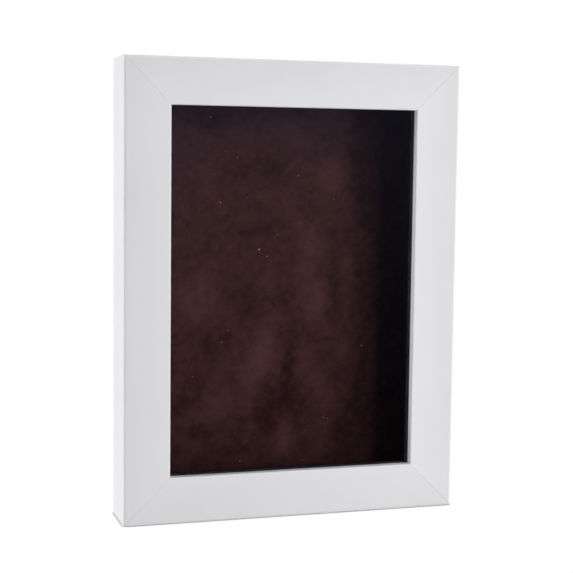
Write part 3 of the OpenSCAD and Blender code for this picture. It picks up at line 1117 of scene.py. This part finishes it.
class SHADOWBOX_OT_bumpers(bpy.types.Operator):
    """Models one wall bumper and puts a copy at each lower corner"""

    bl_idname = "shadow_box.bumpers"
    bl_label = "Wall bumpers"

    def execute(self, context):
        lo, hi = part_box("wall_bumpers")
        radius, height = (hi.z - lo.z) / 2, hi.y - lo.y
        model = edit(round_bar("bumper", radius, 0, height, 56))
        round_off(model, rim(height), height * 0.7, 9)
        round_off(model, rim(0), 0.2 * MM, 2)
        smooth(done(model), 40)
        places = [(x, lo.y, (lo.z + hi.z) / 2) for x in (lo.x + radius, hi.x - radius)]
        bumpers = set_of("wall_bumper_set", model, [Matrix.Translation(at) @ POINT_BACK for at in places])
        hand_over(bumpers, "case", "grey_rubber", "wall_bumpers", ready("bumper_rubber", rubber_finish))
        return {"FINISHED"}


# ---- Stage ----


def floor_finish():
    """Pale seamless floor that glows evenly, darkened only by a thin painted contact shadow."""
    f = Finish("pale_floor")
    # Painted shadow: ambient occlusion dims the glow where the box meets the floor
    contact = f.add("ShaderNodeAmbientOcclusion", Distance=2.5 * MM).outputs["AO"]
    white = f.add("ShaderNodeEmission", Strength=f.spread(contact, 0.5, 0.8, 0.35, 1.0))
    return f.end(white.outputs["Emission"])


def light_room(stage):
    """A bright room behind and to the sides, and a dim one in front that darkens downwards."""
    world = bpy.data.worlds.new("studio")
    bpy.context.scene.world = world
    n = Nodes(world)
    way = n.add("ShaderNodeSeparateXYZ", Vector=n.add("ShaderNodeTexCoord").outputs["Generated"])

    def backdrop(colour, strength):
        return n.add("ShaderNodeBackground", Color=(*colour, 1), Strength=strength).outputs["Background"]

    dim = n.spread(way.outputs["Z"], -0.26, 0.16, 0.08, 1.4, curve="SMOOTHSTEP")
    rear = n.spread(way.outputs["Y"], -0.30, 0.15, curve="SMOOTHSTEP")
    room = n.choose(rear, backdrop(stage.room_front, dim), backdrop((1, 1, 1), stage.room_behind))
    seen = n.add("ShaderNodeLightPath").outputs["Is Camera Ray"]
    n.add("ShaderNodeOutputWorld", Surface=n.choose(seen, room, backdrop((1, 1, 1), 1.0)))


def soft_light(name, place, facing, size, power, colour):
    """A rectangular light that no mirror shows."""
    lamp = bpy.data.lights.new(name, "AREA")
    lamp.shape, (lamp.size, lamp.size_y) = "RECTANGLE", size
    lamp.energy, lamp.color = power, colour
    light = bpy.data.objects.new(name, lamp)
    light.visible_glossy = False
    bpy.context.scene.collection.objects.link(light)
    light.location = place
    light.rotation_euler = facing.to_track_quat("-Z", "Y").to_euler()


class SHADOWBOX_OT_stage(bpy.types.Operator):
    """Sets the floor, the lights and the camera"""

    bl_idname = "shadow_box.stage"
    bl_label = "Stage"

    def execute(self, context):
        stage = context.scene.shadow_box_stage
        floor = disc("pale_floor", 12, 96)
        floor.data.materials.append(ready("pale_floor", floor_finish))
        floor.visible_diffuse = floor.visible_glossy = False
        floor.visible_transmission = floor.visible_shadow = False
        light_room(stage)
        front = Vector((0, FRONT, HEIGHT / 2))
        turn, lift = stage.key_turn, stage.key_lift
        away = Vector((math.sin(turn) * math.cos(lift), -math.cos(turn) * math.cos(lift), math.sin(lift)))
        key_place, key_size = front + away * stage.key_distance, (stage.key_width, stage.key_height)
        soft_light("key_softbox", key_place, -away, key_size, stage.key_power, stage.key_colour)
        strip_place = front + Vector((-stage.strip_distance, -stage.strip_ahead, 0))
        strip_size = (stage.strip_width, stage.strip_height)
        soft_light("side_strip", strip_place, Vector((1, 0, 0)), strip_size, stage.strip_power, (1, 1, 1))
        lens = bpy.data.cameras.new("camera")
        lens.lens, lens.sensor_width = stage.lens, 36.0
        lens.clip_start, lens.clip_end = 0.01, 50
        camera = bpy.data.objects.new("camera", lens)
        context.scene.collection.objects.link(camera)
        aim = Matrix.Rotation(stage.turn, 4, "Z") @ Matrix.Rotation(stage.tilt, 4, "X")
        level = Matrix.Rotation(stage.roll, 4, "Y") @ Matrix.Rotation(math.pi / 2, 4, "X")
        camera.matrix_world = Matrix.Translation(stage.eye) @ aim @ level
        context.scene.camera = camera
        context.scene.view_settings.view_transform = "Standard"
        return {"FINISHED"}


class SHADOWBOX_PT_panel(bpy.types.Panel):
    """Lists the steps that build the shadow box"""

    bl_idname = "SHADOWBOX_PT_panel"
    bl_label = "Shadow Box"
    bl_space_type = "VIEW_3D"
    bl_region_type = "UI"
    bl_category = "Shadow Box"

    def draw(self, context):
        for step in STEPS:
            self.layout.operator(step.bl_idname)


STEPS = (
    SHADOWBOX_OT_moulding,
    SHADOWBOX_OT_glass,
    SHADOWBOX_OT_card_strips,
    SHADOWBOX_OT_backing_board,
    SHADOWBOX_OT_suede,
    SHADOWBOX_OT_lint,
    SHADOWBOX_OT_turn_buttons,
    SHADOWBOX_OT_pivot_screws,
    SHADOWBOX_OT_hangers,
    SHADOWBOX_OT_hanger_nails,
    SHADOWBOX_OT_corner_nails,
    SHADOWBOX_OT_bumpers,
    SHADOWBOX_OT_stage,
)
GROUPS = {
    "shadow_box_sizes": ShadowBoxSizes,
    "shadow_box_finishes": ShadowBoxFinishes,
    "shadow_box_stage": ShadowBoxStage,
}
CLASSES = (*GROUPS.values(), *STEPS, SHADOWBOX_PT_panel)


def register():
    """Adds the classes and their properties."""
    for kind in CLASSES:
        bpy.utils.register_class(kind)
    for name, group in GROUPS.items():
        setattr(bpy.types.Scene, name, PointerProperty(type=group))


def unregister():
    """Takes them away again."""
    for name in GROUPS:
        delattr(bpy.types.Scene, name)
    for kind in reversed(CLASSES):
        bpy.utils.unregister_class(kind)


def main():
    """Builds every piece."""
    register()
    for step in STEPS:
        group, name = step.bl_idname.split(".")
        getattr(getattr(bpy.ops, group), name)()
    put_down()


if __name__ == "__main__":
    main()
